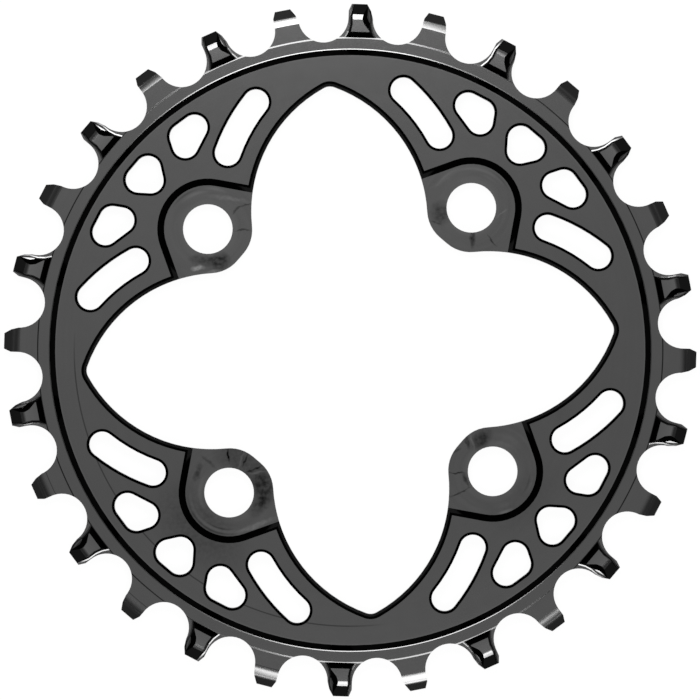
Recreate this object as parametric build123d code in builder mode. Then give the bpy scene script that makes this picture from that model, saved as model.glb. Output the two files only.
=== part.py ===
from build123d import *

import os
from math import cos, radians, sin, sqrt, tan

# One-piece bicycle chainring with alternating narrow and wide teeth, in millimetres.
# The ring lies flat with its axis on Z, its back face on Z = 0 and its outer face up.
# Plan angles turn counter-clockwise as seen from the outer face.

# Chain and tooth outline
tooth_count = 28
chain_pitch = 12.7
roller_radius = 3.885
seat_radius = 4.31
tip_height = 2.53
lead_relief_width = 1.02
lead_break_height = 1.36
lead_break_width = 0.34
trail_relief_height = 1.15
trail_relief_width = 0.5

# Thickness of the web and of the two kinds of tooth: flat, at the break of the tip bevel, at the tip
web_thickness = 4.0
narrow_thickness = 2.0
narrow_break_thickness = 1.58
narrow_tip_thickness = 0.6
strip_thickness = 1.5
wide_thickness = 3.8
wide_break_thickness = 3.45
wide_tip_thickness = 1.7

# Rim section, measured from the root and pitch circles, and the stock left outside the tips
band_width = 1.37
blank_margin = 0.5
boss_foot_height = 0.64
boss_foot_run = 1.0
narrow_bevel_depth = 0.37
narrow_break_height = 0.95
wide_bevel_depth = 0.17
wide_break_height = 0.72

# Raised middle of a wide tooth: a neck, the flare at its root and a low facet round its foot
neck_half_width = 1.74
neck_taper_height = 0.5
neck_tip_half_width = 1.2
flare_half_width = 2.5
flare_angle = 25.0
easing_reach = 0.62
boss_wall_angle = 20.0
foot_facet_width = 0.2
foot_facet_tilt = 9.0

# Scooped lead-in on the clockwise side of a wide tooth, cut with a faceted cone
scoop_height = 0.58
scoop_side = 0.24
scoop_radius = 2.95
scoop_facet_angle = 20
scoop_sweep = 40
scoop_wall_angle = 48.0
scoop_depth = 0.68
scoop_floor_tilt = 9.0
scoop_floor_turn = 80.0

# Bolt pattern and the recessed tabs
bolt_count = 4
bolt_circle = 64.0
bolt_hole_diameter = 8.5
bolt_angle = 45.0
recess_depth = 1.15
recess_radius = 7.48
recess_flare = 30.0

# Star-shaped middle opening
nose_reach = 7.35
nose_half_flat = 0.83
nose_radius = 6.15
scallop_radius = 24.165
star_rim = 5.0
star_chamfer = 0.88

# Lightening holes in the web, all with the corner radius of one cutter
cutter_radius = 2.2
hole_rim = 1.77
hole_chamfer = 0.47
middle_hole_angle = 1.54
middle_hole_reach = 1.68
side_hole_angles = (11.47, 14.68)
side_hole_inner_angle = 10.79
side_hole_reach = 1.49
slot_rib = 3.55
slot_start_angle = -20.8
slot_sweep = 19.1

# Derived circles and levels
half_pitch_angle = 180 / tooth_count
pitch_radius = chain_pitch / 2 / sin(radians(half_pitch_angle))
root_radius = pitch_radius - roller_radius
tip_radius = pitch_radius + tip_height
blank_radius = tip_radius + blank_margin
seat_center_radius = root_radius + seat_radius
tooth_half_width = seat_center_radius * sin(radians(half_pitch_angle)) - seat_radius
flank_start = seat_center_radius * cos(radians(half_pitch_angle))
bolt_radius = bolt_circle / 2
half_web = web_thickness / 2
half_narrow = narrow_thickness / 2
half_wide = wide_thickness / 2
band_radius = root_radius - band_width
web_radius = band_radius - (half_web - half_narrow)
boss_foot_radius = root_radius + boss_foot_height
narrow_break_radius = pitch_radius + narrow_break_height
wide_break_radius = pitch_radius + wide_break_height
hole_row_radius = web_radius - hole_rim - cutter_radius
mid_plane = Plane.XY.offset(half_web)


def polar(radius, angle):
    return Vector(radius * cos(radians(angle)), radius * sin(radians(angle)))


def circle_crossing(center_a, radius_a, center_b, radius_b):
    """Crossing of two circles that lies to the left of the line from A to B."""
    along = center_b - center_a
    reach = (radius_a**2 - radius_b**2 + along.length**2) / (2 * along.length)
    side = sqrt(radius_a**2 - reach**2)
    return center_a + along.normalized() * reach + along.normalized().rotate(Axis.Z, 90) * side


# Star opening: one eighth from the flat nose of a tab to a star tip, mirrored and repeated
nose_end = bolt_radius - nose_reach
nose_center = Vector(nose_end + nose_radius, nose_half_flat)
star_tip = polar(web_radius - star_rim, 180 / bolt_count)
scallop_center = circle_crossing(
    nose_center, nose_radius + scallop_radius, star_tip, scallop_radius
)
nose_junction = nose_center + (scallop_center - nose_center).normalized() * nose_radius

with BuildSketch() as star_quarter:
    with BuildLine():
        nose_flat = Line((nose_end, 0), (nose_end, nose_half_flat))
        nose_corner = TangentArc(nose_flat @ 1, nose_junction, tangent=nose_flat % 1)
        scallop = TangentArc(nose_corner @ 1, star_tip, tangent=nose_corner % 1)
        Polyline(scallop @ 1, (0, 0), nose_flat @ 0)
    make_face()
    mirror(about=Plane.XZ)

with BuildSketch() as star_opening:
    with PolarLocations(0, bolt_count, start_angle=bolt_angle):
        add(star_quarter.sketch)
    star_tips = star_opening.vertices().sort_by_distance((0, 0))[-bolt_count:]
    fillet(star_tips, cutter_radius)

# Lightening holes beside one bolt, drawn with that bolt on +X
with BuildSketch() as middle_hole:
    with Locations(
        (hole_row_radius - middle_hole_reach, 0),
        polar(hole_row_radius, middle_hole_angle),
        polar(hole_row_radius, -middle_hole_angle),
    ):
        Circle(cutter_radius)
    make_hull()

with BuildSketch() as side_holes:
    with Locations(
        polar(hole_row_radius - side_hole_reach, side_hole_inner_angle),
        *[polar(hole_row_radius, angle) for angle in side_hole_angles],
    ):
        Circle(cutter_radius)
    make_hull()
    mirror(about=Plane.XZ)

with BuildSketch() as slots:
    with BuildLine(mode=Mode.PRIVATE) as slot_path:
        CenterArc(
            scallop_center,
            scallop_radius + slot_rib + cutter_radius,
            slot_start_angle,
            slot_sweep,
        )
    SlotArc(slot_path.edge(), 2 * cutter_radius)
    mirror(about=Plane.XZ)

with BuildSketch() as web_holes:
    with PolarLocations(0, bolt_count, start_angle=bolt_angle):
        add(middle_hole.sketch)
        add(side_holes.sketch)
        add(slots.sketch)

# Recess floor of one tab, an arc round the bolt with two tangents that open towards the star
recess_corner = Vector(bolt_radius, 0) + polar(recess_radius, 90 - recess_flare)
recess_run = (recess_corner.X - nose_end + recess_depth) / cos(radians(recess_flare))
recess_open_corner = recess_corner + polar(recess_run, 180 - recess_flare)

with BuildSketch() as recess_floor:
    with BuildLine():
        recess_arc = ThreePointArc(
            (bolt_radius + recess_radius, 0),
            Vector(bolt_radius, 0) + polar(recess_radius, 45 - recess_flare / 2),
            recess_corner,
        )
        Polyline(
            recess_corner,
            recess_open_corner,
            (recess_open_corner.X, 0),
            (bolt_radius + recess_radius, 0),
        )
    make_face()
    mirror(about=Plane.XZ)

# Gap between two teeth, drawn on +X: the seat, the trailing flank below and the leading one above


def on_tooth(u, v, side):
    """Point at u along and v beside the axis of the tooth on one side of the gap."""
    return Vector(u, v).rotate(Axis.Z, side * half_pitch_angle)


with BuildSketch() as tooth_gap:
    with BuildLine():
        trail_seat_end = on_tooth(flank_start, tooth_half_width, -1)
        lead_seat_end = on_tooth(flank_start, -tooth_half_width, 1)
        trail_tip = tooth_half_width - trail_relief_width
        lead_tip = tooth_half_width - lead_relief_width
        lead_break = tooth_half_width - lead_break_width
        ThreePointArc(lead_seat_end, (root_radius, 0), trail_seat_end)
        Polyline(
            trail_seat_end,
            on_tooth(tip_radius - trail_relief_height, tooth_half_width, -1),
            on_tooth(tip_radius, trail_tip, -1),
            on_tooth(blank_radius + tip_height, trail_tip, -1),
            on_tooth(blank_radius + tip_height, -lead_tip, 1),
            on_tooth(tip_radius, -lead_tip, 1),
            on_tooth(pitch_radius + lead_break_height, -lead_break, 1),
            lead_seat_end,
        )
    make_face()

# Raised middle of one wide tooth, on +X: the outlines of its neck and flare at the level of its foot
band_level = half_web + half_narrow
strip_level = half_web + strip_thickness / 2
boss_top_level = half_web + half_wide
boss_rise = boss_top_level - strip_level
boss_root = boss_foot_radius - boss_rise
boss_end = tip_radius + boss_rise
neck_taper_start = pitch_radius + neck_taper_height
neck_taper = (neck_half_width - neck_tip_half_width) / (tip_radius - neck_taper_start)
flare_tip = boss_foot_radius + flare_half_width / tan(radians(flare_angle))
flare_end = flare_tip - neck_half_width / tan(radians(flare_angle))
easing_tip = flare_end + easing_reach + neck_half_width / tan(radians(flare_angle / 2))
wide_bevel_start = pitch_radius - wide_bevel_depth
narrow_bevel_start = pitch_radius - narrow_bevel_depth

with BuildSketch() as boss_neck:
    with BuildLine():
        Polyline(
            (boss_root, 0),
            (boss_end, 0),
            (boss_end, neck_half_width - neck_taper * (boss_end - neck_taper_start)),
            (neck_taper_start, neck_half_width),
            (boss_root, neck_half_width),
            close=True,
        )
    make_face()
    mirror(about=Plane.XZ)

with BuildSketch() as boss_flare:
    with BuildLine():
        Polyline(
            (boss_root, 0),
            (flare_tip, 0),
            (boss_root, (flare_tip - boss_root) * tan(radians(flare_angle))),
            close=True,
        )
    make_face()
    mirror(about=Plane.XZ)

with BuildSketch() as boss_easing:
    with BuildLine():
        Polyline(
            (boss_root, 0),
            (easing_tip, 0),
            (boss_root, (easing_tip - boss_root) * tan(radians(flare_angle / 2))),
            close=True,
        )
    make_face()
    mirror(about=Plane.XZ)

# Stock that the lead-in takes off the clockwise side of the neck, above a tilted floor
scoop_center = Vector(pitch_radius + scoop_height, -scoop_side - scoop_radius, boss_top_level)
scoop_floor_normal = Vector(0, 0, 1).rotate(Axis.Y, scoop_floor_tilt).rotate(Axis.Z, -scoop_floor_turn)

with BuildPart() as scoop:
    with Locations((pitch_radius, 0, half_web)):
        Box(chain_pitch, chain_pitch, web_thickness, align=(Align.CENTER, Align.CENTER, Align.MIN))
    for angle in range(0, scoop_sweep + 1, scoop_facet_angle):
        wall_side = Vector(0, 1, 0).rotate(Axis.Z, angle)
        wall_normal = Vector(0, 0, 1) * tan(radians(scoop_wall_angle)) - wall_side
        split(bisect_by=Plane(scoop_center + wall_side * scoop_radius, z_dir=wall_normal))
    split(
        bisect_by=Plane(
            (scoop_center.X, -scoop_side, boss_top_level - scoop_depth), z_dir=scoop_floor_normal
        )
    )

# Tapered walls under a bevelled crown on both faces, with the lead-in and the foot facet on the outer one
with BuildPart() as tooth_boss:
    for outline in (boss_neck.sketch, boss_easing.sketch, boss_flare.sketch):
        with BuildSketch(Plane.XY.offset(strip_level)) as boss_foot:
            add(outline)
        extrude(amount=boss_rise, taper=boss_wall_angle)
        extrude(boss_foot.sketch, amount=half_web - strip_level)
    with BuildSketch(Plane.XZ):
        with BuildLine():
            Polyline(
                (boss_foot_radius, half_web),
                (boss_foot_radius, band_level),
                (boss_foot_radius + boss_foot_run, boss_top_level),
                (wide_bevel_start, boss_top_level),
                (wide_break_radius, half_web + wide_break_thickness / 2),
                (tip_radius, half_web + wide_tip_thickness / 2),
                (tip_radius, half_web),
                close=True,
            )
        make_face()
    extrude(amount=chain_pitch / 2, both=True, mode=Mode.INTERSECT)
    mirror(about=mid_plane)
    add(scoop.part, mode=Mode.SUBTRACT)
    for outline in (boss_neck.sketch, boss_easing.sketch, boss_flare.sketch):
        with BuildSketch(Plane.XY.offset(strip_level)):
            add(outline)
            offset(amount=foot_facet_width, kind=Kind.INTERSECTION)
        extrude(amount=foot_facet_width * tan(radians(foot_facet_tilt)), taper=90 - foot_facet_tilt)
    with BuildSketch():
        with Locations((tip_radius, 0)):
            Rectangle(chain_pitch, chain_pitch, align=(Align.MIN, Align.CENTER))
        with Locations(Location((0, 0, 0), (0, 0, -half_pitch_angle))):
            add(tooth_gap.sketch)
        with Locations(Location((0, 0, 0), (0, 0, half_pitch_angle))):
            add(tooth_gap.sketch)
    extrude(amount=web_thickness, mode=Mode.SUBTRACT)

# Stock outside the bevelled end of one narrow tooth, on +X
with BuildPart() as narrow_end:
    with BuildSketch(Plane.XZ):
        with BuildLine():
            Polyline(
                (tip_radius, half_web),
                (blank_radius + blank_margin, half_web),
                (blank_radius + blank_margin, band_level),
                (narrow_bevel_start, band_level),
                (narrow_break_radius, half_web + narrow_break_thickness / 2),
                (tip_radius, half_web + narrow_tip_thickness / 2),
                close=True,
            )
        make_face()
    extrude(amount=chain_pitch / 2, both=True)
    mirror(about=mid_plane)

# Stock outside one wide tooth, on +X: its end, and above the strips beside its raised middle
with BuildPart() as wide_end:
    with BuildSketch(Plane.XY.offset(strip_level)):
        with Locations((boss_foot_radius, 0)):
            Rectangle(chain_pitch, chain_pitch, align=(Align.MIN, Align.CENTER))
    extrude(amount=half_web)
    mirror(about=mid_plane)
    with BuildSketch():
        with Locations((tip_radius, 0)):
            Rectangle(chain_pitch, chain_pitch, align=(Align.MIN, Align.CENTER))
    extrude(amount=web_thickness)

# The ring: a turned blank with its openings, tab recesses and tooth gaps, then the wide teeth
with BuildPart() as chainring:
    with BuildSketch(Plane.XZ) as section:
        with BuildLine():
            Polyline(
                (0, half_web),
                (0, web_thickness),
                (web_radius, web_thickness),
                (band_radius, half_web + half_narrow),
                (blank_radius, half_web + half_narrow),
                (blank_radius, half_web),
                close=True,
            )
        make_face()
    revolve(axis=Axis.Z)
    mirror(about=mid_plane)

    extrude(star_opening.sketch, amount=web_thickness, mode=Mode.SUBTRACT)
    extrude(web_holes.sketch, amount=web_thickness, mode=Mode.SUBTRACT)
    star_rim_wire = chainring.faces().sort_by(Axis.Z)[-1].inner_wires().sort_by(SortBy.LENGTH)[-1]
    chamfer(star_rim_wire.edges(), star_chamfer)
    with BuildSketch(Plane.XY.offset(web_thickness - hole_chamfer)):
        add(web_holes.sketch)
    extrude(amount=hole_chamfer, taper=-45, mode=Mode.SUBTRACT)

    with BuildSketch(Plane.XY.offset(web_thickness - recess_depth)):
        with PolarLocations(0, bolt_count, start_angle=bolt_angle):
            add(recess_floor.sketch)
    extrude(amount=recess_depth, taper=-45, mode=Mode.SUBTRACT)
    with PolarLocations(bolt_radius, bolt_count, start_angle=bolt_angle):
        Hole(bolt_hole_diameter / 2)

    with BuildSketch():
        with PolarLocations(0, tooth_count, start_angle=bolt_angle + half_pitch_angle):
            add(tooth_gap.sketch)
    extrude(amount=web_thickness, mode=Mode.SUBTRACT)
    with PolarLocations(0, tooth_count // 2, start_angle=bolt_angle):
        add(narrow_end.part, mode=Mode.SUBTRACT)
    with PolarLocations(0, tooth_count // 2, start_angle=bolt_angle + 2 * half_pitch_angle):
        add(wide_end.part, mode=Mode.SUBTRACT)
        add(tooth_boss.part)

chainring.part.label = "chainring"
os.makedirs("parts", exist_ok=True)
export_step(chainring.part, "parts/chainring.step")
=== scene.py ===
# Looks of a bicycle chainring: black anodised finish, white floor, studio light and camera
import math
from types import SimpleNamespace

import bpy
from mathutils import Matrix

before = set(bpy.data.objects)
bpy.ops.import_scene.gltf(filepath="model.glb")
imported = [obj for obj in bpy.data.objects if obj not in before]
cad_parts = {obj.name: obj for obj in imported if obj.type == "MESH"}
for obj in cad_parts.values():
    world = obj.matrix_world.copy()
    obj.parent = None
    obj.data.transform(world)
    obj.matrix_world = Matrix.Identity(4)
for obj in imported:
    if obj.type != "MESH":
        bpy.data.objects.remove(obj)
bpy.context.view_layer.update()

# Sizes of the part in millimetres, in its own frame: axis on Z, outer face up
mm_per_metre = 1000.0
chain_pitch = 12.7
tooth_count = 28
pitch_radius = chain_pitch / (2 * math.sin(math.pi / tooth_count))
root_radius = pitch_radius - 3.885
band_inner_radius = root_radius - 1.37
web_radius = band_inner_radius - 1.0
step_radius = root_radius + 0.64
narrow_bevel_start = pitch_radius - 0.37
narrow_bevel_break = pitch_radius + 0.95
wide_bevel_start = pitch_radius - 0.17
star_reach = 46.3
bolt_circle_radius = 32.0
bolt_angle = 45.0
bolt_hole_edge = 4.3
recess_reach = 8.9
tab_level = 2.85
boss_level = 3.9
facet_split_level = 2.9
chamfer_middle_level = 3.57

# View: 119.76 mm of the part fill the width of the picture. The part is turned a little in it, and its
# axis lies a fraction of a pixel from the middle
picture_turn = math.radians(-4.62)
picture_width = 700
view_width = 0.11976
camera_height = 2.0
focus_level = 0.003
ring_shift_x = 0.23
ring_shift_y = 0.2

# Grey level of the finish, from side walls at 0 over cut slopes to flats at 1. The flats keep the
# finish's own grey; the near black on the cut slopes and the dark tilted tip facets is painted shade
greys_with_painted_slope_shade = (
    (0.0, 0.030),
    (0.12, 0.030),
    (0.24, 0.0006),
    (0.80, 0.0006),
    (0.91, 0.0095),
    (0.945, 0.073),
    (1.0, 0.073),
)

# Grey added to the lower half of the star's chamfer, and the share of edge reflection on cut slopes
chamfer_grey = 0.026
slope_edge_tint = 0.7

# Height of the normal on the low facets of the wide teeth, and at the start of their crowns
low_facet_normal = (0.984, 0.9895)
crown_normal = (0.979, 0.983)

# Blend between the lower and the upper half of the ring, in millimetres to each side of the X axis
half_blend = 10.0

# Directions in degrees: the side painted lighter as painted light, towards the upper soft box in the
# picture, and the scribed side of the part
painted_light_direction = 105.0
scribed_direction = 222.4
scribed_web_radius = web_radius - 3.26
scribed_tooth_radius = pitch_radius - 0.61

# Tilt of the fine steps at the foot of the outer slope and of the teeth, in degrees
slope_foot_tilt = 8.5
tooth_foot_tilt = 10.5

# Distance between two tabs in the folded place beside a bolt
tab_spacing = 100.0

# Tool marks as seen in the picture: side of X, side of Y, millimetres right of and above the bolt,
# direction of the long axis, its half length, half width, change of brightness
smudges = (
    (1, 1, -5.2, -0.9, 100, 2.4, 2.1, -0.46),
    (1, 1, -6.1, -2.5, -15, 1.1, 0.2, -0.35),
    (1, 1, 0.2, -5.2, 90, 2.0, 0.6, -0.6),
    (1, 1, 3.5, -5.6, -50, 1.7, 0.2, -0.55),
    (1, 1, -4.9, 4.6, 33, 3.4, 0.4, 0.13),
    (1, 1, 5.2, -1.0, 35, 1.4, 0.22, 0.35),
    (-1, 1, 2.0, -5.6, 20, 2.2, 1.8, -0.66),
    (-1, 1, -0.9, -5.3, -4, 2.6, 1.2, -0.45),
    (-1, 1, -1.7, -6.7, 8, 1.5, 0.6, 1.5),
    (-1, 1, 0.9, -7.2, 10, 1.6, 0.4, 0.5),
    (-1, 1, 4.9, 3.3, 46, 1.3, 0.2, -0.5),
    (-1, 1, 6.4, 4.2, 17, 1.4, 0.2, -0.5),
    (-1, 1, 6.1, -0.2, 4, 1.7, 0.2, -0.5),
    (-1, 1, 3.8, 5.2, -8, 4.6, 0.5, 0.3),
    (-1, -1, 5.9, 0.7, 95, 3.7, 2.5, -0.5),
    (-1, -1, 5.1, -2.2, 50, 2.6, 1.6, -0.4),
    (-1, -1, -0.1, 6.3, 92, 1.7, 0.3, -0.65),
    (-1, -1, -3.5, 5.3, 137, 2.0, 0.4, -0.35),
    (-1, -1, 2.8, 5.7, 65, 1.7, 0.25, -0.5),
    (-1, -1, 4.4, 4.0, 22, 2.0, 0.28, -0.5),
    (-1, -1, 4.9, 3.5, 12, 1.7, 0.22, 0.5),
    (-1, -1, 2.0, 5.5, 70, 2.0, 0.25, 0.4),
    (-1, -1, -5.4, 3.5, 70, 1.9, 0.7, -0.45),
    (-1, -1, 4.6, -5.6, 22, 4.4, 0.55, 0.5),
    (-1, -1, -5.0, -6.0, -45, 11.0, 7.0, -0.24),
    (-1, -1, 2.5, 4.8, -40, 7.5, 3.8, -0.3),
    (1, -1, -1.9, 5.5, 50, 2.5, 1.6, -0.56),
    (1, -1, -3.6, 5.4, 105, 2.2, 0.3, 0.4),
    (1, -1, -4.4, 5.1, 105, 1.6, 0.4, -0.5),
    (1, -1, -6.1, -0.3, 4, 1.8, 0.2, -0.6),
    (1, -1, -4.6, -1.5, -70, 1.6, 0.5, -0.6),
    (1, -1, -5.7, -3.7, 27, 2.6, 0.2, -0.55),
    (1, -1, -6.3, 3.5, 30, 1.2, 0.25, -0.5),
    (1, -1, 2.6, 5.0, 0, 3.2, 2.0, 0.12),
    (1, -1, 5.0, -5.0, 45, 9.0, 5.0, -0.1),
)

# Bright and dark arcs beside the wall of a tab recess: side of X, side of Y, distance from the bolt,
# the two ends as seen in the picture, half width, change of brightness
arcs = (
    (1, 1, 6.7, 30, 125, 0.42, 0.26),
    (1, 1, 7.05, 20, 65, 0.2, -0.2),
    (1, 1, 5.9, 40, 80, 0.3, 0.12),
    (1, 1, 7.0, 100, 155, 0.3, 0.24),
    (-1, 1, 6.35, 85, 138, 0.42, 0.32),
    (-1, 1, 7.0, 60, 98, 0.4, 0.25),
    (-1, 1, 7.0, 96, 152, 0.26, -0.28),
    (-1, -1, 6.7, 170, 305, 0.42, 0.34),
    (-1, -1, 6.3, 228, 282, 0.2, -0.3),
    (-1, -1, 7.1, 188, 296, 0.24, -0.3),
    (-1, -1, 5.0, 140, 220, 0.5, 0.25),
    (1, -1, 7.25, 274, 300, 0.38, 0.55),
    (1, -1, 6.4, 322, 362, 0.24, -0.2),
    (1, -1, 6.9, 325, 355, 0.2, 0.15),
    (1, -1, 6.1, 268, 308, 0.6, 0.16),
)

# Grey level of the room by height, from the horizon at 0 to a white panel straight above at 1
room_greys = (
    (0.0, 0.5),
    (0.20, 0.5),
    (0.35, 0.8),
    (0.80, 0.8),
    (0.91, 0.18),
    (0.94, 0.2),
    (0.985, 1.0),
    (1.0, 1.0),
)

# Soft boxes above the part, one towards the top of the picture and one towards its foot, each with a
# dimmer rim: left, right, foot and top edge in the picture in metres, radiance
box_height = 0.30
soft_boxes = (
    ("top_box", -0.080, 0.040, 0.093, 0.210, 17.0),
    ("foot_box", -0.040, 0.080, -0.200, -0.106, 15.0),
    ("top_rim", -0.105, 0.078, 0.105, 0.225, 2.5),
    ("foot_rim", -0.078, 0.105, -0.215, -0.112, 2.0),
)

# White floor just under the part: size and gap in metres, grey of its paper, share of even white on it
floor_size = 8.0
floor_gap = 0.00002
floor_grey = 0.9
floor_glow = 0.95


def from_picture(right, above):
    """Place in the part's frame of a point given as seen in the picture."""
    return (
        right * math.cos(picture_turn) - above * math.sin(picture_turn),
        right * math.sin(picture_turn) + above * math.cos(picture_turn),
    )


def tab_place(side_x, side_y):
    """Where the tab on these sides of X and Y lies along Z in the folded place beside a bolt."""
    return (side_x + 2.0 * side_y) * tab_spacing


class Nodes:
    """Short calls for the nodes of one material or world."""

    def __init__(self, tree):
        self.tree = tree
        tree.nodes.clear()

    def add(self, kind, inputs=None, **settings):
        made = self.tree.nodes.new(kind)
        for name, value in settings.items():
            setattr(made, name, value)
        for name, value in (inputs or {}).items():
            if isinstance(value, bpy.types.NodeSocket):
                self.tree.links.new(value, made.inputs[name])
            else:
                made.inputs[name].default_value = value
        return made

    def math(self, operation, first, second=0.0, third=0.0):
        values = {0: first, 1: second, 2: third}
        return self.add("ShaderNodeMath", values, operation=operation).outputs[0]

    def product(self, first, *others):
        for other in others:
            first = self.math("MULTIPLY", first, other)
        return first

    def vector(self, operation, first, second=(0, 0, 0)):
        made = self.add("ShaderNodeVectorMath", {0: first, 1: second}, operation=operation)
        return made.outputs["Value" if operation in ("LENGTH", "DOT_PRODUCT") else "Vector"]

    def scaled(self, vector, factor):
        inputs = {"Vector": vector, "Scale": factor}
        return self.add("ShaderNodeVectorMath", inputs, operation="SCALE").outputs[0]

    def combined(self, x, y, z):
        return self.add("ShaderNodeCombineXYZ", {"X": x, "Y": y, "Z": z}).outputs[0]

    def separated(self, vector):
        return tuple(self.add("ShaderNodeSeparateXYZ", {"Vector": vector}).outputs)

    def ramp(self, value, low, high, start=0.0, end=1.0):
        """Straight run from start to end while value goes from low to high."""
        inputs = {"Value": value, "From Min": low, "From Max": high, "To Min": start, "To Max": end}
        return self.add("ShaderNodeMapRange", inputs).outputs[0]

    def pulse(self, value, low, high, soft):
        """One between low and high, zero outside, over soft edges."""
        rise = self.ramp(value, low - soft / 2, low + soft / 2)
        fall = self.ramp(value, high - soft / 2, high + soft / 2, 1.0, 0.0)
        return self.product(rise, fall)

    def where(self, mask, inside, outside=1.0):
        """The value inside where the mask is one, and the value outside where it is zero."""
        return self.ramp(mask, 0.0, 1.0, outside, inside)

    def greys(self, value, stops):
        """Grey that runs straight from stop to stop, each a position and a level, from 0 to 1."""
        made = self.add("ShaderNodeValToRGB", {"Fac": value})
        elements = made.color_ramp.elements
        for position, _ in stops[1:-1]:
            elements.new(position)
        for element, (_, grey) in zip(elements, stops):
            element.color = (grey, grey, grey, 1.0)
        return made.outputs["Color"]

    def noise(self, vector, scale, detail=2.0, distortion=0.0, output="Fac"):
        inputs = {"Vector": vector, "Scale": scale, "Detail": detail, "Distortion": distortion}
        return self.add("ShaderNodeTexNoise", inputs).outputs[output]

    def ellipse(self, vector, middle, half_length, half_width, turn=0.0):
        """Distance from the middle of a turned ellipse, with one at its edge."""
        inputs = {
            "Vector": vector,
            "Location": middle,
            "Rotation": (0.0, 0.0, turn),
            "Scale": (half_length, half_width, 1.0),
        }
        mapped = self.add("ShaderNodeMapping", inputs, vector_type="TEXTURE")
        return self.vector("LENGTH", mapped.outputs[0])


def places(n):
    """Where a point of the part lies, in millimetres, and which way its face looks.

    across is the distance from the middle of the nearest wide tooth towards its clockwise side.
    """
    place = n.scaled(n.add("ShaderNodeTexCoord").outputs["Object"], mm_per_metre)
    x, y, z = n.separated(place)
    in_plan = n.combined(x, y, 0.0)
    radius = n.vector("LENGTH", in_plan)
    outward = n.vector("NORMALIZE", in_plan)
    outward_x, outward_y, _ = n.separated(outward)
    azimuth = n.math("ARCTAN2", y, x)
    geometry = n.add("ShaderNodeNewGeometry").outputs
    normal_z = n.separated(geometry["True Normal"])[2]

    # Angle from the middle of the nearest wide tooth
    half_turn = 2 * math.pi / tooth_count
    wide_angle = math.radians(bolt_angle) + half_turn
    local_angle = n.math("WRAP", n.math("SUBTRACT", azimuth, wide_angle), half_turn, -half_turn)
    on_wide = n.pulse(local_angle, -half_turn / 2, half_turn / 2, 0.001)

    # Place beside the nearest bolt, folded into one quadrant, with the four tabs set apart along Z
    bolt_offset = bolt_circle_radius * math.sin(math.radians(bolt_angle))
    bolt_x = n.math("SUBTRACT", n.math("ABSOLUTE", x), bolt_offset)
    bolt_y = n.math("SUBTRACT", n.math("ABSOLUTE", y), bolt_offset)
    side = n.math("MULTIPLY", n.math("SIGN", x), tab_place(1, 0))
    tab = n.math("MULTIPLY_ADD", n.math("SIGN", y), tab_place(0, 1), side)
    bolt_distance = n.vector("LENGTH", n.combined(bolt_x, bolt_y, 0.0))
    bolt_azimuth = n.math("ARCTAN2", bolt_y, bolt_x)

    return SimpleNamespace(
        place=place,
        y=y,
        z=z,
        radius=radius,
        azimuth=azimuth,
        outward=outward,
        clockwise=n.combined(outward_y, n.math("MULTIPLY", outward_x, -1.0), 0.0),
        normal=geometry["Normal"],
        normal_z=normal_z,
        upright=n.math("ABSOLUTE", normal_z),
        front=n.math("GREATER_THAN", normal_z, 0.0),
        on_wide=on_wide,
        on_narrow=n.math("SUBTRACT", 1.0, on_wide),
        across=n.product(n.math("SINE", local_angle), radius, -1.0),
        from_bolt=n.combined(bolt_x, bolt_y, tab),
        around_bolt=n.combined(bolt_distance, bolt_azimuth, tab),
        bolt_distance=bolt_distance,
    )


def tool_marks(n, at):
    """Smudges and arcs on the tab floors."""
    wobble = n.vector("SUBTRACT", n.noise(at.place, 0.7, 3.0, output="Color"), (0.5, 0.5, 0.5))
    wavy_from_bolt = n.vector("ADD", at.from_bolt, n.vector("MULTIPLY", wobble, (1.0, 1.0, 0.0)))
    marks = 0.0
    for side_x, side_y, right, above, direction, half_length, half_width, change in smudges:
        x, y = from_picture(right, above)
        middle = (side_x * x, side_y * y, tab_place(side_x, side_y))
        along = side_x * side_y * (math.radians(direction) + picture_turn)
        reach = n.ellipse(wavy_from_bolt, middle, half_length, half_width, along)
        marks = n.math("MULTIPLY_ADD", n.ramp(reach, 0.35, 1.0, 1.0, 0.0), change, marks)
    mottle = n.ramp(n.noise(at.place, 1.5, 4.0), 0.35, 0.65, 0.65, 1.3)
    marks = n.math("MULTIPLY_ADD", marks, mottle, 1.0)
    for side_x, side_y, distance, start, end, half_width, change in arcs:
        direction = math.radians((start + end) / 2) + picture_turn
        azimuth = math.atan2(side_y * math.sin(direction), side_x * math.cos(direction))
        middle = (distance, azimuth, tab_place(side_x, side_y))
        reach = n.ellipse(at.around_bolt, middle, half_width, math.radians(end - start) / 2)
        marks = n.math("MULTIPLY_ADD", n.ramp(reach, 0.2, 1.0, 1.0, 0.0), change, marks)
    return marks


def streaks(n, at):
    """Faint turning streaks on the flats, broad swirls on the tab floors, haze over both."""
    tab = n.pulse(at.z, tab_level - 0.05, tab_level + 0.05, 0.02)
    tab = n.product(tab, n.ramp(at.radius, web_radius - 5.0, web_radius - 4.9, 1.0, 0.0))
    swirl_place = n.vector("MULTIPLY", at.around_bolt, (1.1, 0.7, 1.0))
    swirl = n.ramp(n.noise(swirl_place, 1.0, 3.0, 0.6), 0.3, 0.7, 0.95, 1.07)
    turning_place = n.combined(n.product(at.radius, 1.5), n.product(at.azimuth, 1.2), 0.0)
    turning = n.ramp(n.noise(turning_place, 1.0, 3.0, 0.3), 0.3, 0.7, 0.985, 1.015)
    haze = n.ramp(n.noise(at.place, 0.25, 3.0), 0.3, 0.7, 0.985, 1.015)
    hole_edge = n.ramp(at.bolt_distance, bolt_hole_edge, bolt_hole_edge + 1.1, 1.12, 1.0)
    return n.product(n.where(tab, swirl, turning), haze, hole_edge)


def painted_light_side(n, at):
    """Painted light: the surface is painted a little lighter on the side towards the upper soft box."""
    towards = math.radians(painted_light_direction) + picture_turn
    paler = n.vector("DOT_PRODUCT", at.outward, (math.cos(towards), math.sin(towards), 0.0))
    return n.ramp(paler, -0.4, 0.7, 0.97, 1.12)


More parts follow.
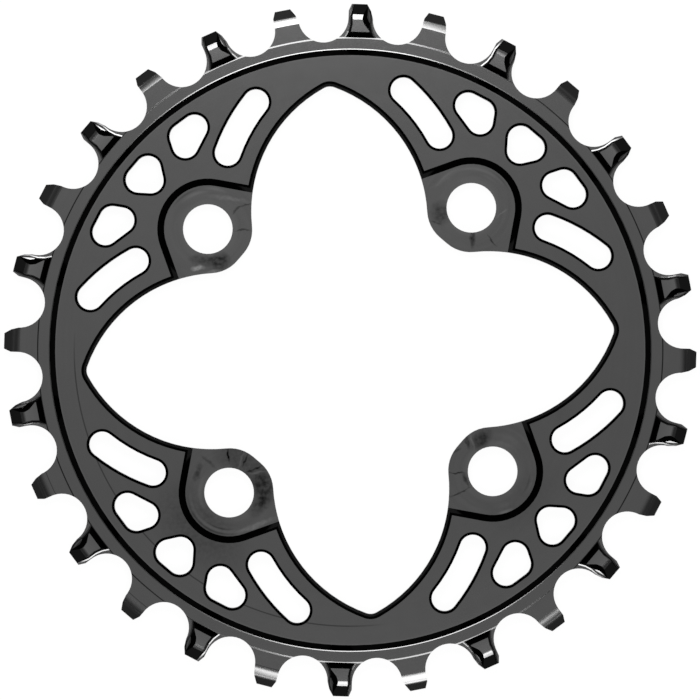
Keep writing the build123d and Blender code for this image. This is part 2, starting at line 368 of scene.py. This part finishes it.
def scribed_lines(n, at):
    """A dark line on one side of the web, and one on the narrow teeth there, on the outer face."""
    towards = math.radians(scribed_direction)
    near = n.vector("DOT_PRODUCT", at.outward, (math.cos(towards), math.sin(towards), 0.0))
    web_line = n.pulse(at.radius, scribed_web_radius - 0.11, scribed_web_radius + 0.11, 0.08)
    web_line = n.product(web_line, n.ramp(near, 0.62, 0.74))
    tooth_line = n.pulse(at.radius, scribed_tooth_radius - 0.07, scribed_tooth_radius + 0.07, 0.04)
    tooth_line = n.product(tooth_line, n.ramp(near, 0.80, 0.86), at.on_narrow)
    return n.where(n.product(n.math("MAXIMUM", web_line, tooth_line), at.front), 0.5)


def edge_highlight_and_lighter_tops(n, at):
    """A painted highlight along the edge of the web; the tops of the wide teeth are made lighter towards
    their crowns.
    """
    edge = n.pulse(at.radius, web_radius - 0.22, web_radius, 0.05)
    boss_top = n.pulse(at.z, boss_level - 0.03, boss_level + 0.03, 0.02)
    boss_top = n.product(boss_top, n.ramp(at.radius, step_radius + 0.53, step_radius + 0.63))
    lighter_towards_crown = n.ramp(at.radius, step_radius + 1.0, wide_bevel_start, 1.12, 1.3)
    return n.product(n.where(edge, 1.12), n.where(boss_top, lighter_towards_crown))


def fine_steps(n, at):
    """Painted shade along the fine step at the foot of the teeth, and the tilt of the fine steps at the
    foot of the outer slope and of the teeth.
    """
    level_face = n.math("GREATER_THAN", at.normal_z, 0.99)
    slope_foot = n.pulse(at.radius, band_inner_radius, band_inner_radius + 0.13, 0.03)
    tooth_foot = n.pulse(at.radius, step_radius - 0.10, step_radius + 0.12, 0.04)
    tilt = n.product(slope_foot, math.tan(math.radians(slope_foot_tilt)))
    tilt = n.math("MULTIPLY_ADD", tooth_foot, math.tan(math.radians(tooth_foot_tilt)), tilt)
    return n.where(n.product(tooth_foot, level_face), 0.7), n.product(tilt, level_face)


def low_facets(n, at):
    """Low facets of the wide teeth: painted shade that darkens the foot facets outwards, and how the
    scoop floor rolls off.
    """
    facet = n.product(n.pulse(at.normal_z, *low_facet_normal, 0.001), at.on_wide)
    clockwise_side = n.math("GREATER_THAN", at.across, 0.0)
    clockwise_foot = n.product(clockwise_side, n.math("LESS_THAN", at.z, facet_split_level))
    clockwise_fade = n.ramp(at.radius, pitch_radius - 0.91, pitch_radius + 0.49, 1.0, 0.35)
    tip_fade = n.ramp(at.radius, pitch_radius + 0.99, pitch_radius + 1.99, 1.0, 0.15)
    fade = n.product(tip_fade, n.where(clockwise_foot, clockwise_fade))
    scoop_floor = n.product(n.math("GREATER_THAN", at.z, facet_split_level), facet)
    floor_edge = n.ramp(at.radius, pitch_radius - 0.21, pitch_radius + 1.79, 1.35, 1.0)
    roll_off = n.ramp(n.math("SUBTRACT", at.across, floor_edge), 0.04, 0.34, 0.0, 0.35)
    return n.where(facet, fade), n.product(roll_off, scoop_floor)


def narrow_bevels(n, at):
    """Painted shade on the outer part of the rounded tip bevels on the narrow teeth, and the tilt of
    their rounding.
    """

    def by_half(lower, upper):
        """The bevel differs a little between the lower and the upper half of the ring."""
        return n.ramp(at.y, -half_blend, half_blend, lower, upper)

    level_turn = -0.155
    inner_place = n.math("SUBTRACT", at.radius, by_half(0.0, 0.18))
    inner_turn = n.ramp(
        inner_place, narrow_bevel_start, narrow_bevel_break, by_half(-0.12, -0.04), by_half(0.05, 0.11)
    )
    before_bevel = n.math("LESS_THAN", inner_place, narrow_bevel_start)
    inner_turn = n.where(before_bevel, level_turn, inner_turn)
    on_inner = n.pulse(at.radius, narrow_bevel_start, narrow_bevel_break, 0.01)
    rounding_end = narrow_bevel_break + 0.4
    outer_place = n.math("ADD", at.radius, by_half(-0.15, 0.15))
    outer_turn = n.ramp(outer_place, narrow_bevel_break, rounding_end, -0.125, 0.0)
    outer_shade = n.ramp(outer_place, narrow_bevel_break, rounding_end, 1.0, 0.3)
    on_outer = n.ramp(at.radius, narrow_bevel_break, narrow_bevel_break + 0.01)
    tilt = n.math("MULTIPLY_ADD", outer_turn, on_outer, n.product(inner_turn, on_inner))
    return n.where(n.product(on_outer, at.on_narrow), outer_shade), n.product(tilt, at.on_narrow)


def crown_tilt(n, at):
    """Tilt of the rounding at the start of the crown on the wide teeth."""
    crown = n.product(n.pulse(at.normal_z, *crown_normal, 0.001), at.on_wide)
    return n.product(n.ramp(at.radius, wide_bevel_start, wide_bevel_start + 0.6, -0.165, 0.0), crown)


def star_chamfer(n, at):
    """Extra grey on the lower half of the star's chamfer, away from the tab recesses."""
    chamfer = n.pulse(at.upright, 0.6, 0.8, 0.02)
    lower = n.ramp(at.z, chamfer_middle_level - 0.05, chamfer_middle_level + 0.05, 1.0, 0.0)
    inner = n.ramp(at.radius, star_reach, star_reach + 0.1, 1.0, 0.0)
    clear_of_tabs = n.ramp(at.bolt_distance, recess_reach, recess_reach + 0.4)
    return n.product(chamfer, lower, inner, clear_of_tabs, chamfer_grey)


def black_anodised():
    """Black anodised aluminium: satin flats, cut slopes painted deep black as painted shade, painted
    highlights and shade on edges and teeth, marks on the outer face.
    """
    material = bpy.data.materials.new("black_anodised")
    material.use_nodes = True
    n = Nodes(material.node_tree)
    at = places(n)
    step_shade, step_tilt = fine_steps(n, at)
    facet_shade, scoop_roll = low_facets(n, at)
    bevel_shade, bevel_tilt = narrow_bevels(n, at)

    # Tool marks and streaks are marks on the surface; the lighter side, the edge highlight and the shade
    # at the tooth foot, on the low facets and at the bevel tips are painted light and shade
    outer_marks = n.where(at.front, n.product(tool_marks(n, at), streaks(n, at)))
    marks_and_painted_light = n.product(outer_marks, painted_light_side(n, at), scribed_lines(n, at), edge_highlight_and_lighter_tops(n, at))
    marks_and_painted_light = n.product(marks_and_painted_light, step_shade, facet_shade, bevel_shade)
    chamfer = star_chamfer(n, at)
    # The greys paint the cut slopes and tilted tip facets black as painted shade; the flats keep their
    # own grey
    colour = n.scaled(n.greys(at.upright, greys_with_painted_slope_shade), marks_and_painted_light)
    colour = n.vector("ADD", colour, n.combined(chamfer, chamfer, chamfer))

    tilt = n.math("ADD", n.math("ADD", step_tilt, bevel_tilt), crown_tilt(n, at))
    turned = n.vector("ADD", n.scaled(at.outward, tilt), n.scaled(at.clockwise, scoop_roll))
    normal = n.vector("NORMALIZE", n.vector("ADD", at.normal, turned))
    grain = n.noise(at.place, 6.0)
    bump = {"Strength": 0.5, "Distance": 1.0e-6, "Height": grain, "Normal": normal}
    inputs = {
        "Base Color": colour,
        "Metallic": 1.0,
        "Roughness": n.ramp(n.noise(at.place, 0.6, 3.0), 0.3, 0.7, 0.145, 0.155),
        "Specular Tint": n.ramp(at.upright, 0.80, 0.91, slope_edge_tint, 1.0),
        "Normal": n.add("ShaderNodeBump", bump).outputs["Normal"],
    }
    shader = n.add("ShaderNodeBsdfPrincipled", inputs)
    n.add("ShaderNodeOutputMaterial", {"Surface": shader.outputs["BSDF"]})
    return material


def white_paper():
    """White for the rays that show the background, pale paper with a soft shadow for the others."""
    material = bpy.data.materials.new("white_paper")
    material.use_nodes = True
    n = Nodes(material.node_tree)
    path = n.add("ShaderNodeLightPath").outputs
    seen = n.math("MAXIMUM", path["Is Camera Ray"], path["Is Glossy Ray"])
    seen = n.math("MAXIMUM", seen, path["Is Transmission Ray"])
    matt = n.add("ShaderNodeBsdfDiffuse", {"Color": (floor_grey, floor_grey, floor_grey, 1.0)})
    bright = n.add("ShaderNodeEmission", {"Color": (1.0, 1.0, 1.0, 1.0), "Strength": 1.0})
    share = n.product(seen, floor_glow)
    mixed = n.add("ShaderNodeMixShader", {0: share, 1: matt.outputs[0], 2: bright.outputs[0]})
    n.add("ShaderNodeOutputMaterial", {"Surface": mixed.outputs[0]})
    return material


# The finish on every node of the part
finish_material = black_anodised()
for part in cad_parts.values():
    for slot in part.material_slots:
        slot.material = finish_material

# White floor
bpy.ops.mesh.primitive_plane_add(size=floor_size, location=(0, 0, -floor_gap))
floor = bpy.context.object
floor.name = "floor"
floor.data.materials.append(white_paper())

# Studio round the part: pale walls, a dim ceiling and a white panel straight above
world = bpy.data.worlds.new("studio")
bpy.context.scene.world = world
world.use_nodes = True
room = Nodes(world.node_tree)
height = room.separated(room.add("ShaderNodeTexCoord").outputs["Generated"])[2]
light = room.add("ShaderNodeBackground", {"Color": room.greys(height, room_greys), "Strength": 1.0})
room.add("ShaderNodeOutputWorld", {"Surface": light.outputs[0]})

# Soft boxes, level above the part and in line with the picture
for name, left, right, low, high, radiance in soft_boxes:
    lamp = bpy.data.lights.new(name, "AREA")
    lamp.shape = "RECTANGLE"
    lamp.size = right - left
    lamp.size_y = high - low
    lamp.energy = radiance * math.pi * lamp.size * lamp.size_y
    holder = bpy.data.objects.new(name, lamp)
    bpy.context.scene.collection.objects.link(holder)
    holder.location = (*from_picture((left + right) / 2, (low + high) / 2), box_height)
    holder.rotation_euler = (0.0, 0.0, picture_turn)

# Long lens straight above the part
lens = bpy.data.cameras.new("camera")
lens.sensor_width = 36.0
lens.lens = lens.sensor_width * (camera_height - focus_level) / view_width
lens.clip_end = 50.0
lens.shift_x = -ring_shift_x / picture_width
lens.shift_y = ring_shift_y / picture_width
camera = bpy.data.objects.new("camera", lens)
bpy.context.scene.collection.objects.link(camera)
camera.location = (0.0, 0.0, camera_height)
camera.rotation_euler = (0.0, 0.0, picture_turn)
bpy.context.scene.camera = camera
bpy.context.scene.view_settings.view_transform = "Standard"
